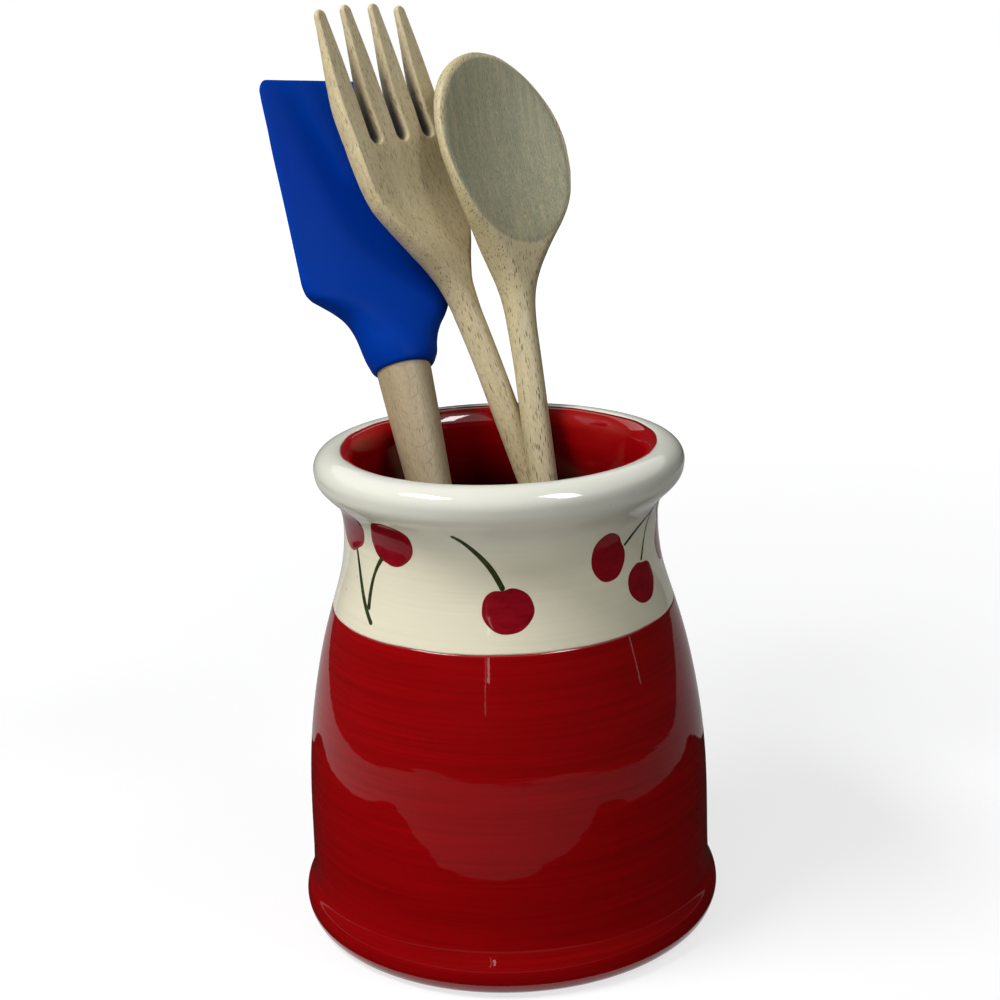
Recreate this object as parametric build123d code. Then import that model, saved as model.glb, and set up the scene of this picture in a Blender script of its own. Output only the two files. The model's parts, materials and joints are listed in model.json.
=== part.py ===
from build123d import *
from math import acos, asin, atan2, cos, degrees, radians, sin
import os

# A thrown pottery crock for kitchen utensils, with a silicone spatula, a wooden fork and
# a wooden spoon standing in it. Millimetres, +Z up, the origin is the centre of the base.
# The viewer stands at -Y. Each utensil is drawn upright and then leaned into place.

# Crock, outside
crock_height = 178.0
foot_radius = 77.3
foot_seat_radius = 70.5
foot_height = 16.9
foot_join_radius = 74.4
belly_radius = 73.9
band_height = 120.0
neck_radius = 56.5
rim_radius = 66.1
rim_rise = 6.7
crest_radius = 58.2
# Heights as shares of the crock's, radii as shares of the drop from belly to neck
side_shares = [
    (0.24, 0.02),
    (0.39, 0.085),
    (0.505, 0.25),
    (0.607, 0.48),
    (0.685, 0.72),
    (0.758, 0.93),
    (0.82, 1.0),
]
# Under the rim: heights as shares from the neck's end to the rim, radii from neck to rim
flare_shares = [(0.30, 0.055), (0.56, 0.34), (0.78, 0.76)]
flare_start_share = 0.82

# Crock, inside
wall = 5.4
base_thickness = 6.0
foot_recess = 2.0
foot_ring_width = 6.5
lip_radius = 7.0
floor_corner_radius = 4.0

# Glaze
glaze_coat = 0.5
glaze_stop_height = 1.2
mouth_line_radius = 56.3

# Room between pieces that rest on each other
seat_gap = 0.3
socket_gap = 0.15

# Silicone spatula
butt_radius = 8.4
waist_radius = 7.3
waist_share = 0.5
collar_seat_radius = 10.35
collar_height = 209.4
deep_socket = 14.0
tenon_radius = 5.0
tenon_length = 20.0
collar_radius = 12.9
blade_length = 119.6
blade_straight_side = 33.9
blade_curved_side = 26.0
blade_top_flat = 9.0
blade_curve_drop = 44.0
blade_shoulder_rise = 31.5
blade_collar_rise = 15.0
blade_corner_radius = 3.0
blade_shoulder_radius = 7.0
blade_core_reach = 26.0
blade_half_thickness = 2.2
blade_tip_half_thickness = 1.7

# Wooden fork
fork_handle_radius = 5.25
fork_length = 343.8
fork_neck_height = 200.9
fork_half_width = 27.8
fork_tip_half_thickness = 2.5
tine_count = 4
tine_pitch = 15.2
tine_tip_radius = 3.35
slot_radius = 2.6
slot_height = 291.6
middle_tine_extra = 1.5
fork_bend = 3.8

# Wooden spoon
spoon_handle_radius = 5.4
spoon_neck_length = 41.2
bowl_height = 288.5
bowl_half_length = 40.3
bowl_half_width = 28.5
bowl_depth = 14.0
bowl_rim = 2.2
hollow_depth = 9.5
face_offset = 6.5
face_slope_share = 0.10

# Sections of the utensils, from handle to tip. Heights are shares of the piece's length there
tablet_corner_share = 0.96
# Blade's core: width from the collar's to its reach, depth from the tip's to the collar's
blade_shares = [
    (0.0, 0.0, 1.0),
    (0.06, 0.03, 0.97),
    (0.12, 0.14, 0.84),
    (0.18, 0.38, 0.66),
    (0.24, 0.70, 0.52),
    (0.30, 0.92, 0.40),
    (0.38, 1.0, 0.27),
    (0.50, 0.97, 0.16),
    (0.65, 0.90, 0.08),
    (0.82, 0.75, 0.01),
]
# Fork: width from the handle's to the head's, depth from the tip's to the handle's, bend
fork_shares = [
    (0.0, 0.0, 1.0, 0.0),
    (0.10, 0.02, 1.0, 0.0),
    (0.18, 0.07, 0.97, 0.0),
    (0.24, 0.17, 0.90, 0.0),
    (0.30, 0.37, 0.81, 0.0),
    (0.36, 0.64, 0.75, 0.0),
    (0.42, 0.84, 0.72, 0.0),
    (0.49, 0.96, 0.71, 0.0),
    (0.57, 1.0, 0.69, 0.02),
    (0.68, 0.99, 0.60, 0.12),
    (0.80, 0.97, 0.42, 0.38),
    (0.90, 0.955, 0.20, 0.68),
    (1.01, 0.94, 0.0, 1.0),
]
# Spoon's neck: width and depth against the handle's radius, drop towards the bowl's face
spoon_neck_shares = [
    (0.0, 1.0, 1.0, 0.0),
    (0.25, 1.02, 1.03, 0.03),
    (0.45, 1.10, 1.13, 0.13),
    (0.62, 1.27, 1.34, 0.36),
    (0.78, 1.62, 1.66, 0.70),
    (0.90, 2.10, 1.93, 0.98),
]
# Bowl: heights from its middle in half lengths, half widths and depths
bowl_shares = [
    (-0.97, 0.50, 0.80),
    (-0.84, 0.66, 0.89),
    (-0.66, 0.81, 0.95),
    (-0.40, 0.94, 1.0),
    (-0.10, 1.0, 1.0),
    (0.20, 0.98, 0.96),
    (0.46, 0.895, 0.84),
    (0.68, 0.745, 0.68),
    (0.84, 0.56, 0.50),
    (0.94, 0.36, 0.33),
    (1.0, 0.12, 0.14),
]

# How the utensils stand: bearings round the crock are in degrees from +X
spatula_foot_bearing = -84.6
spatula_lip_bearing = 134.9
spatula_turn = 30.0
fork_foot_bearing = 2.0
fork_foot_share = 0.97
fork_lip_bearing = 84.16
fork_turn = 50.0
spoon_foot_bearing = -52.9
spoon_foot_share = 0.823
spoon_touch_height = 163.4
spoon_turn = 37.0

# Derived sizes
floor_height = foot_recess + base_thickness
foot_ring_radius = foot_seat_radius - foot_ring_width
rim_height = crock_height - rim_rise
lip_height = crock_height - lip_radius
neck_bore_radius = crest_radius - lip_radius
wall_bore_radius = belly_radius - wall
spoon_neck_height = bowl_height - bowl_half_length - spoon_neck_length
overrun = wall
lean_steps = 12


def side_points(inset):
    """Points up the side from the belly to the neck, moved in by the inset."""
    drop = belly_radius - neck_radius
    return [(belly_radius - drop * radius - inset, crock_height * height) for height, radius in side_shares]


def flare_points(inset):
    """Points from the neck out to the underside of the rim, moved in by the inset."""
    start = crock_height * flare_start_share
    rise = rim_height - start
    reach = rim_radius - neck_radius
    return [(neck_radius + reach * radius - inset, start + rise * height) for height, radius in flare_shares]


def crock_section(coat):
    """Half section of the crock under a coat of glaze, radius along X and height along Y."""
    half_foot = foot_height / 2
    foot_reach = foot_radius - foot_seat_radius
    join_angle = degrees(acos((foot_join_radius - foot_seat_radius) / foot_reach))
    foot_roll = EllipticalCenterArc((foot_seat_radius, half_foot), foot_reach - coat, half_foot - coat, -90,
                                    arc_size=90 + join_angle)
    side = Spline(foot_roll @ 1, *side_points(coat), *flare_points(coat), (rim_radius - coat, rim_height),
                  tangents=[(0, 1), (0, 1)])
    rim = EllipticalCenterArc((crest_radius, rim_height), rim_radius - crest_radius - coat, rim_rise - coat,
                              arc_size=90)
    lip = CenterArc((crest_radius, lip_height), lip_radius - coat, 90, 90)
    bore_points = [point for point in side_points(wall - coat) if point[0] > neck_bore_radius + wall]
    corner_height = floor_height + floor_corner_radius
    bore = Spline(lip @ 1, (neck_bore_radius + coat, crock_height * flare_start_share),
                  *reversed(bore_points), (wall_bore_radius + coat, corner_height),
                  tangents=[(0, -1), (0, -1)])
    corner = CenterArc((wall_bore_radius - floor_corner_radius, corner_height), floor_corner_radius + coat,
                       0, -90)
    base = Polyline(corner @ 1, (0, floor_height - coat), (0, foot_recess),
                    (foot_ring_radius - foot_recess, foot_recess), (foot_ring_radius, coat),
                    (foot_seat_radius, coat))
    return make_face([foot_roll, side, rim, lip, bore, corner, base])


def block(low_radius, high_radius, low, high):
    """A rectangle in the section plane."""
    return make_face(Polyline((low_radius, low), (high_radius, low), (high_radius, high),
                              (low_radius, high), (low_radius, low)))


def inside_of_wall():
    """Everything in the section plane that lies inside the middle of the wall."""
    middle = side_points(wall / 2)
    rim_middle = (neck_radius + neck_bore_radius) / 2
    return make_face(Polyline((0, floor_height - base_thickness / 2),
                              (belly_radius - wall / 2, floor_height - base_thickness / 2), *middle,
                              (rim_middle, rim_height - lip_radius), (mouth_line_radius, rim_height),
                              (mouth_line_radius, crock_height + overrun), (0, crock_height + overrun),
                              (0, floor_height - base_thickness / 2)))


def turned(section):
    """Revolve a section round the crock's axis."""
    return revolve(Plane.XZ * section, Axis.Z)


def make_crock():
    """The clay body and its three coats of glaze."""
    whole = crock_section(0)
    bare = block(0, foot_radius, 0, glaze_stop_height)
    bare += block(0, foot_ring_radius, 0, floor_height - glaze_coat)
    clay = crock_section(glaze_coat) + (whole & bare)
    coats = whole - clay
    liner = coats & inside_of_wall()
    outer = coats - inside_of_wall()
    below = block(0, foot_radius + overrun, 0, band_height)
    return {
        "clay_body": turned(clay),
        "red_glaze": turned(outer & below),
        "cream_glaze": turned(outer - below),
        "liner_glaze": turned(liner),
    }


def bearing_point(radius, bearing, height):
    """A point at a radius and a bearing round the crock's axis."""
    return Vector(radius * cos(radians(bearing)), radius * sin(radians(bearing)), height)


def leaning_direction(foot, touch, along, reach):
    """Unit vector from the foot that passes a line through touch at the given reach."""
    heading = (touch - foot).normalized()
    for _ in range(lean_steps):
        side = along.cross(heading).normalized()
        heading = (touch + side * reach - foot).normalized()
    return heading


def lean_on_lip(foot, bearing, handle_radius):
    """Direction of a handle that rests on the inside of the lip at a bearing."""
    touch = bearing_point(crest_radius, bearing, lip_height)
    along = Vector(sin(radians(bearing)), -cos(radians(bearing)), 0)
    return leaning_direction(foot, touch, along, lip_radius + handle_radius + seat_gap)


def stood(foot, heading, turn):
    """The place of an upright utensil that is turned about its axis and leaned to a heading."""
    back = -degrees(atan2(heading.Y, heading.Z))
    side = degrees(asin(heading.X))
    return Pos(*foot) * Rot(back, side, turn)


def foot_point(end_radius, bearing, share=1.0):
    """Centre of a handle's round end, on the crock's floor and out towards its wall."""
    reach = wall_bore_radius - end_radius - 2 * seat_gap
    return bearing_point(reach * share, bearing, floor_height + end_radius + seat_gap)


def oval(height, half_width, half_thickness, middle=0.0):
    """An elliptical section of a utensil."""
    return Pos(0, middle, height) * Ellipse(half_width, half_thickness)


def tablet(height, half_width, half_thickness, middle=0.0):
    """A section with nearly semicircular ends."""
    return Pos(0, middle, height) * RectangleRounded(2 * half_width, 2 * half_thickness,
                                                     tablet_corner_share * half_thickness)


def rod(radius, length):
    """A round handle with a domed lower end at the origin."""
    profile = make_face([Line((0, -radius), (0, length)), Line((0, length), (radius, length)),
                         Line((radius, length), (radius, 0)), CenterArc((0, 0), radius, 0, -90)])
    return revolve(Plane.XZ * profile, Axis.Z)


def handle_radius_at(height):
    """Radius of the spatula's handle between its waist and its collar."""
    waist_height = collar_height * waist_share
    taper = (collar_seat_radius - waist_radius) / (collar_height - waist_height)
    return waist_radius + taper * (height - waist_height)


def make_spatula_handle():
    """Turned beech handle: domed butt, slim waist, swelling to the collar, with a tenon."""
    waist = (waist_radius, collar_height * waist_share)
    shoulder = (collar_seat_radius, collar_height + deep_socket)
    grip = Spline((butt_radius, 0), waist, tangents=[(0, 1), (collar_seat_radius - waist_radius,
                                                             collar_height - waist[1])])
    top = collar_height + deep_socket + tenon_length
    profile = make_face([CenterArc((0, 0), butt_radius, 0, -90), grip,
                         Polyline(waist, (collar_seat_radius, collar_height), shoulder,
                                  (tenon_radius, shoulder[1]), (tenon_radius, top), (0, top),
                                  (0, -butt_radius))])
    return revolve(Plane.XZ * profile, Axis.Z)


def blade_outline():
    """Front outline of the silicone head: one straight side, one curved side."""
    top = collar_height + blade_length
    shoulder = collar_height + blade_shoulder_rise
    neck = collar_height + blade_collar_rise
    curve = EllipticalCenterArc((blade_top_flat, top - blade_curve_drop), blade_curved_side - blade_top_flat,
                                blade_curve_drop, arc_size=90)
    rest = Polyline(curve @ 1, (-blade_straight_side, top), (-blade_straight_side, shoulder),
                    (-collar_radius - seat_gap, neck), (-collar_radius, collar_height - overrun),
                    (collar_radius, collar_height - overrun), (collar_radius + seat_gap, neck),
                    (blade_curved_side, shoulder), curve @ 0)
    outline = make_face([curve, rest])
    corners = outline.vertices()
    top_corner = corners.sort_by_distance((-blade_straight_side, top))[0]
    outline = fillet([top_corner], blade_corner_radius)
    for point, size in [((-blade_straight_side, shoulder), blade_shoulder_radius),
                        ((blade_curved_side, shoulder), 2 * blade_shoulder_radius),
                        ((-collar_radius - seat_gap, neck), blade_shoulder_radius),
                        ((collar_radius + seat_gap, neck), blade_shoulder_radius)]:
        corner = outline.vertices().sort_by_distance(point)[0]
        outline = fillet([corner], size)
    return outline


def make_spatula_blade():
    """Silicone head: round collar that thins into a flat blade, with a socket for the handle."""
    wide = blade_core_reach - collar_radius
    thick = collar_radius - blade_tip_half_thickness
    sections = [oval(collar_height + blade_length * height, collar_radius + wide * width,
                     blade_tip_half_thickness + thick * depth) for height, width, depth in blade_shares]
    core = loft(sections, ruled=True)
    low = collar_height + blade_collar_rise
    high = collar_height + blade_length + overrun
    taper = make_face(Polyline((-blade_half_thickness, low), (blade_half_thickness, low),
                               (blade_tip_half_thickness, high), (-blade_tip_half_thickness, high),
                               (-blade_half_thickness, low)))
    plate = extrude(Plane.YZ * taper, amount=blade_straight_side + overrun, both=True)
    outline = extrude(Plane.XZ * blade_outline(), amount=collar_radius + overrun, both=True)
    seat = (Align.CENTER, Align.CENTER, Align.MIN)
    socket = Pos(0, 0, collar_height - overrun) * Cylinder(
        collar_seat_radius + socket_gap, deep_socket + overrun + socket_gap, align=seat)
    bore = Pos(0, 0, collar_height + deep_socket) * Cylinder(
        tenon_radius + socket_gap, tenon_length + socket_gap, align=seat)
    return ((core + plate) & outline) - socket - bore


def fork_outline():
    """Front outline of the fork's head, with rounded tines and round-bottomed slots."""
    root_half = tine_pitch / 2 - slot_radius
    first = -tine_pitch * (tine_count - 1) / 2
    edges = []
    for index in range(tine_count):
        middle = first + index * tine_pitch
        outer = index in (0, tine_count - 1)
        tip = fork_length - tine_tip_radius - (middle_tine_extra if outer else 0)
        edges.append(Line((middle - root_half, slot_height), (middle - tine_tip_radius, tip)))
        edges.append(CenterArc((middle, tip), tine_tip_radius, 180, -180))
        edges.append(Line((middle + tine_tip_radius, tip), (middle + root_half, slot_height)))
        if index < tine_count - 1:
            edges.append(CenterArc((middle + tine_pitch / 2, slot_height), slot_radius, 180, 180))
    side = root_half - first
    edges.append(Polyline((side, slot_height), (side, fork_neck_height), (-side, fork_neck_height),
                          (-side, slot_height)))
    return make_face(edges)


def make_fork():
    """Wooden fork: round handle, flat palm and four tapering tines that bend forward."""
    head_length = fork_length - fork_neck_height
    wide = fork_half_width - fork_handle_radius
    thick = fork_handle_radius - fork_tip_half_thickness
    sections = [tablet(fork_neck_height + head_length * height, fork_handle_radius + wide * width,
                       fork_tip_half_thickness + thick * depth, -fork_bend * bend)
                for height, width, depth, bend in fork_shares]
    outline = extrude(Plane.XZ * fork_outline(), amount=fork_half_width, both=True)
    return rod(fork_handle_radius, fork_neck_height) + (loft(sections, ruled=True) & outline)


def face_front(height):
    """How far the plane of the bowl's rim stands in front of the handle's axis."""
    return face_offset - face_slope_share * (height - bowl_height)


def make_spoon():
    """Wooden spoon: round handle, deepening neck and an oval bowl with a hollow."""
    sections = [oval(spoon_neck_height + spoon_neck_length * height, spoon_handle_radius * width,
                     spoon_handle_radius * depth, -face_offset * drop)
                for height, width, depth, drop in spoon_neck_shares]
    for height, width, depth in bowl_shares:
        level = bowl_height + height * bowl_half_length
        sections.append(oval(level, bowl_half_width * width, bowl_depth * depth, -face_front(level)))
    body = rod(spoon_handle_radius, spoon_neck_height) + loft(sections, ruled=True)
    top = bowl_height + 2 * bowl_half_length
    low = spoon_neck_height + overrun
    reach = -2 * bowl_half_length
    before = make_face(Polyline((-face_front(low), low), (-face_front(top), top), (reach, top),
                                (reach, low), (-face_front(low), low)))
    front = extrude(Plane.YZ * before, amount=2 * bowl_half_width, both=True)
    hollow = scale(Sphere(hollow_depth), by=((bowl_half_width - bowl_rim) / hollow_depth, 1,
                                            (bowl_half_length - bowl_rim) / hollow_depth))
    face_angle = degrees(asin(face_slope_share))
    hollow = Pos(0, -face_front(bowl_height), bowl_height) * Rot(face_angle, 0, 0) * hollow
    return body - front - hollow


def place_utensils():
    """Lean the three utensils in the crock."""
    spatula_foot = foot_point(butt_radius, spatula_foot_bearing)
    lip_reach = bearing_point(crest_radius, spatula_lip_bearing, lip_height) - spatula_foot
    grip_radius = collar_seat_radius
    for _ in range(lean_steps):
        spatula_heading = lean_on_lip(spatula_foot, spatula_lip_bearing, grip_radius)
        grip_radius = handle_radius_at(lip_reach.dot(spatula_heading))
    fork_foot = foot_point(fork_handle_radius, fork_foot_bearing, fork_foot_share)
    fork_heading = lean_on_lip(fork_foot, fork_lip_bearing, fork_handle_radius)
    spoon_foot = foot_point(spoon_handle_radius, spoon_foot_bearing, spoon_foot_share)
    touch = fork_foot + fork_heading * spoon_touch_height
    spoon_heading = leaning_direction(spoon_foot, touch, -fork_heading,
                                      fork_handle_radius + spoon_handle_radius + seat_gap)
    headings = {"spatula": spatula_heading, "fork": fork_heading, "spoon": spoon_heading}
    for name, heading in headings.items():
        print(name, "axis", [round(part, 5) for part in heading])
    spatula_place = stood(spatula_foot, spatula_heading, spatula_turn)
    return {
        "spatula_handle": spatula_place * make_spatula_handle(),
        "spatula_blade": spatula_place * make_spatula_blade(),
        "wooden_fork": stood(fork_foot, fork_heading, fork_turn) * make_fork(),
        "wooden_spoon": stood(spoon_foot, spoon_heading, spoon_turn) * make_spoon(),
    }


os.makedirs("parts", exist_ok=True)
pieces = make_crock()
pieces.update(place_utensils())
for name, piece in pieces.items():
    export_step(piece, "parts/" + name + ".step")
    print(name, round(piece.volume / 1000, 2), "cm3")
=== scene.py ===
# Utensil crock: glazed stoneware with a silicone spatula, a beech fork and a beech spoon in it.
# Shapes are in millimetres and degrees; finishes and the studio are in metres, colours as read off a screen.
import json

import bmesh
import bpy
import numpy as np
from mathutils import Euler, Matrix, Vector


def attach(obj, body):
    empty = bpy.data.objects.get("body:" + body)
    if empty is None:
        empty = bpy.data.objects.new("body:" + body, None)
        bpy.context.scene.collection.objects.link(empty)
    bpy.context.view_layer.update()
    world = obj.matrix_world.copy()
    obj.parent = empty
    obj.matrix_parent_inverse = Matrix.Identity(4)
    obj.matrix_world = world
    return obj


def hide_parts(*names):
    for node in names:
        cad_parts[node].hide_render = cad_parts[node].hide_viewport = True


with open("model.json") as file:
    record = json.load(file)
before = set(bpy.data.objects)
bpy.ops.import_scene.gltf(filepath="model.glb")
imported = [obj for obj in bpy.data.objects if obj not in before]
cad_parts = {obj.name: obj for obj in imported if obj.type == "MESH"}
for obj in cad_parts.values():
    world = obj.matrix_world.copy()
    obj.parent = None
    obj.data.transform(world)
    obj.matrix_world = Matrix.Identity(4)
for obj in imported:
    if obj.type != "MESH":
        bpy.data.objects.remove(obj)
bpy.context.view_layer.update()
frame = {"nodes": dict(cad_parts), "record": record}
liftAxes = {joint["name"]: joint["axis"] for joint in frame["record"]["behaviour"]["joints"]}
print("frame loaded with", len(frame["nodes"]), "nodes")

millimetre = 0.001
mergeReach = 4e-7


def tableCurve(rows, column, at):
    # One column of a table at any height: a cubic between rows, its slopes the harmonic mean of both sides,
    # and the end values beyond the table's ends
    heights = np.array([row[0] for row in rows], float)
    values = np.array([row[column] for row in rows], float)
    gap = np.diff(heights)
    climb = np.diff(values) / gap
    low, high = climb[:-1], climb[1:]
    sameWay = low * high > 0
    inner = np.where(sameWay, 2 * low * high / np.where(sameWay, low + high, 1), 0)
    slope = np.concatenate([climb[:1], inner, climb[-1:]])
    place = np.clip(np.searchsorted(heights, at, side="right") - 1, 0, len(gap) - 1)
    part = np.clip((at - heights[place]) / gap[place], 0, 1)
    rise = values[place + 1] - values[place]
    return (values[place] + rise * part**2 * (3 - 2 * part)
            + gap[place] * slope[place] * part * (1 - part)**2
            - gap[place] * slope[place + 1] * part**2 * (1 - part))


def tableCurves(rows, at):
    # Every column of a table at the same heights
    return [tableCurve(rows, column, at) for column in range(1, len(rows[0]))]


def throughPoints(points, count):
    # Natural cubic spline through points in the plane, its parameter the straight distance between them
    points = np.array(points, float)
    along = np.concatenate([[0], np.cumsum(np.hypot(*np.diff(points, axis=0).T))])
    gap = np.diff(along)
    size = len(points)
    system = np.eye(size)
    pull = np.zeros((size, 2))
    inner = np.arange(1, size - 1)
    system[inner, inner - 1] = gap[:-1]
    system[inner, inner] = 2 * (gap[:-1] + gap[1:])
    system[inner, inner + 1] = gap[1:]
    steps = np.diff(points, axis=0) / gap[:, None]
    pull[1:-1] = 6 * np.diff(steps, axis=0)
    bend = np.linalg.solve(system, pull)
    at = np.linspace(0, along[-1], count)
    place = np.clip(np.searchsorted(along, at, side="right") - 1, 0, size - 2)
    left = (at - along[place])[:, None]
    right = (along[place + 1] - at)[:, None]
    width = gap[place][:, None]
    return ((bend[place] * right**3 + bend[place + 1] * left**3) / (6 * width)
            + (points[place] / width - bend[place] * width / 6) * right
            + (points[place + 1] / width - bend[place + 1] * width / 6) * left)


def arcPoints(centre, reach, start, end, count):
    # Points of an elliptical arc in the plane, angles in degrees
    angle = np.radians(np.linspace(start, end, count))
    return np.stack([centre[0] + reach[0] * np.cos(angle), centre[1] + reach[1] * np.sin(angle)], -1)


def heightRows(stops, steps, top=None):
    # Heights of a piece's rows, one column: even steps between the stops, then ever closer ones to a round top
    heights = [np.linspace(low, high, count)[1:] for low, high, count in zip(stops, stops[1:], steps)]
    if top:
        height, count = top
        heights.append(stops[-1] + (height - stops[-1]) * np.sin(np.linspace(0, np.pi / 2, count))[1:])
    return np.concatenate([stops[:1], *heights])[:, None]


def ovalShares(columns, power):
    # Shares of half width and half depth round a section: cosine and sine, raised so that a power of 2 gives
    # an oval and more a rounded square
    angle = np.linspace(0, 2 * np.pi, columns, endpoint=False)[None, :]
    return [np.sign(part) * np.abs(part)**(2 / power) for part in (np.cos(angle), np.sin(angle))]


def roundEnd(sheet, radius, count):
    # The lower half of a ball, row by row, before a sheet whose first row is a section at height 0
    angle = np.linspace(0, np.pi / 2, count)[:-1, None, None]
    dome = sheet[:1] * [1, 1, 0] * np.sin(angle)
    dome[..., 2] = -radius * np.cos(angle[..., 0])
    return np.concatenate([dome, sheet])


def quadCorners(rows, columns, loopRows=False, loopColumns=False):
    # Corner numbers of a grid's faces, its points numbered row by row; a loop joins the last to the first
    row = np.arange(rows if loopRows else rows - 1)[:, None]
    column = np.arange(columns if loopColumns else columns - 1)[None, :]
    after, beside = (row + 1) % rows, (column + 1) % columns
    return np.stack([row * columns + column, row * columns + beside,
                     after * columns + beside, after * columns + column], -1).reshape(-1, 4)


def placed(grid, place):
    # A grid in millimetres becomes a list of points in metres, moved to where its piece stands
    return grid.reshape(-1, 3) * millimetre @ np.array(place.to_3x3()).T + np.array(place.translation)


def sheetMesh(name, points, quads):
    # Points in metres and the corner numbers of their faces become a mesh
    mesh = bpy.data.meshes.new(name)
    mesh.vertices.add(len(points))
    mesh.vertices.foreach_set("co", points.ravel())
    mesh.loops.add(quads.size)
    mesh.loops.foreach_set("vertex_index", quads.ravel().astype(np.int32))
    mesh.polygons.add(len(quads))
    mesh.polygons.foreach_set("loop_start", np.arange(0, quads.size, 4, dtype=np.int32))
    mesh.update(calc_edges=True)
    return mesh


def inScene(name, data):
    # A new object of the scene for a mesh, a lamp or the camera
    added = bpy.data.objects.new(name, data)
    bpy.context.scene.collection.objects.link(added)
    return added


def mergedObject(name, sheets, turnFaces=False):
    # Sheets of points and faces become one smooth object, their shared borders and poles merged
    joined = bmesh.new()
    for points, quads in sheets:
        loose = sheetMesh(name, points, quads)
        joined.from_mesh(loose)
        bpy.data.meshes.remove(loose)
    bmesh.ops.remove_doubles(joined, verts=joined.verts, dist=mergeReach)
    if turnFaces:
        bmesh.ops.recalc_face_normals(joined, faces=joined.faces)
    mesh = bpy.data.meshes.new(name)
    joined.to_mesh(mesh)
    joined.free()
    mesh.polygons.foreach_set("use_smooth", np.ones(len(mesh.polygons), bool))
    mesh.validate()
    return inScene(name, mesh)


def gridObject(name, grid, loopRows=False, place=Matrix()):
    # A grid of points, closed across its columns, becomes an object; its faces point outwards when the volume
    # between them and the origin is positive, and are turned round when it isn't
    points = placed(grid, place)
    quads = quadCorners(*grid.shape[:2], loopRows, True)
    first, second, third, fourth = points[quads].transpose(1, 0, 2)
    volume = (first * (np.cross(second, third) + np.cross(third, fourth))).sum()
    return mergedObject(name, [(points, quads if volume > 0 else quads[:, ::-1])])


def patchObject(name, patches, place):
    # Open grids of points that share their borders become one closed object with its faces outwards
    sheets = [(placed(grid, place), quadCorners(*grid.shape[:2])) for grid in patches]
    return mergedObject(name, sheets, turnFaces=True)


def seat(piece, body, slotName, material, *nodes):
    # Gives a piece its finish and its body, and hides the CAD nodes it stands for
    piece.data.materials.clear()
    piece.data.materials.append(material)
    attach(piece, body)
    if nodes:
        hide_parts(*nodes)


def socketColor(color):
    # A colour as read off a screen, 0 to 255, made linear
    shade = np.array(color) / 255
    linear = np.where(shade <= 0.04045, shade / 12.92, ((shade + 0.055) / 1.055)**2.4)
    return (*[float(part) for part in linear], 1.0)


class NodeTree:
    # The nodes of a material or of the world, with short ways to add and join them
    def __init__(self, owner, empty=True):
        owner.use_nodes = True
        self.nodes, self.links = owner.node_tree.nodes, owner.node_tree.links
        if empty:
            self.nodes.clear()

    def add(self, kind, inputs=None, **settings):
        node = self.nodes.new(kind)
        for key, value in settings.items():
            setattr(node, key, value)
        for key, value in (inputs or {}).items():
            self.give(node.inputs[key], value)
        return node

    def give(self, socket, value):
        if isinstance(value, bpy.types.NodeSocket):
            self.links.new(value, socket)
        else:
            socket.default_value = value


class Surface(NodeTree):
    # A new Principled material with shortcuts for the nodes of its pattern
    def __init__(self, name):
        self.material = bpy.data.materials.new(name)
        super().__init__(self.material, empty=False)
        self.shader = self.nodes["Principled BSDF"]
        self.coordinates = self.add("ShaderNodeTexCoord").outputs["Object"]

    def mapped(self, source=None, kind="POINT", **inputs):
        given = {"Vector": source or self.coordinates, **inputs}
        return self.add("ShaderNodeMapping", given, vector_type=kind).outputs[0]

    def noise(self, scale, detail=2.0, rough=0.5, warp=0.0, source=None):
        # Three scales stretch the pattern along the axes
        vector = source or self.coordinates
        if isinstance(scale, tuple):
            vector, scale = self.mapped(vector, Scale=scale), 1.0
        return self.add("ShaderNodeTexNoise", {"Vector": vector, "Scale": scale, "Detail": detail,
                                               "Roughness": rough, "Distortion": warp}).outputs["Fac"]

    def ramp(self, value, low, high, start=0.0, end=1.0):
        return self.add("ShaderNodeMapRange", {"Value": value, "From Min": low, "From Max": high,
                                               "To Min": start, "To Max": end}).outputs["Result"]

    def mix(self, factor, first, second):
        return self.add("ShaderNodeMix", {0: factor, 6: first, 7: second}, data_type="RGBA").outputs[2]

    def math(self, operation, first, second=0.0):
        return self.add("ShaderNodeMath", {0: first, 1: second}, operation=operation).outputs[0]

    def product(self, first, *others):
        for other in others:
            first = self.math("MULTIPLY", first, other)
        return first

    def bump(self, height, distance, strength):
        normal = self.add("ShaderNodeBump", {"Height": height, "Distance": distance, "Strength": strength})
        self.give(self.shader.inputs["Normal"], normal.outputs["Normal"])

    def finish(self, color, rough):
        self.give(self.shader.inputs["Base Color"], color)
        self.give(self.shader.inputs["Roughness"], rough)
        return self.material


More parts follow.
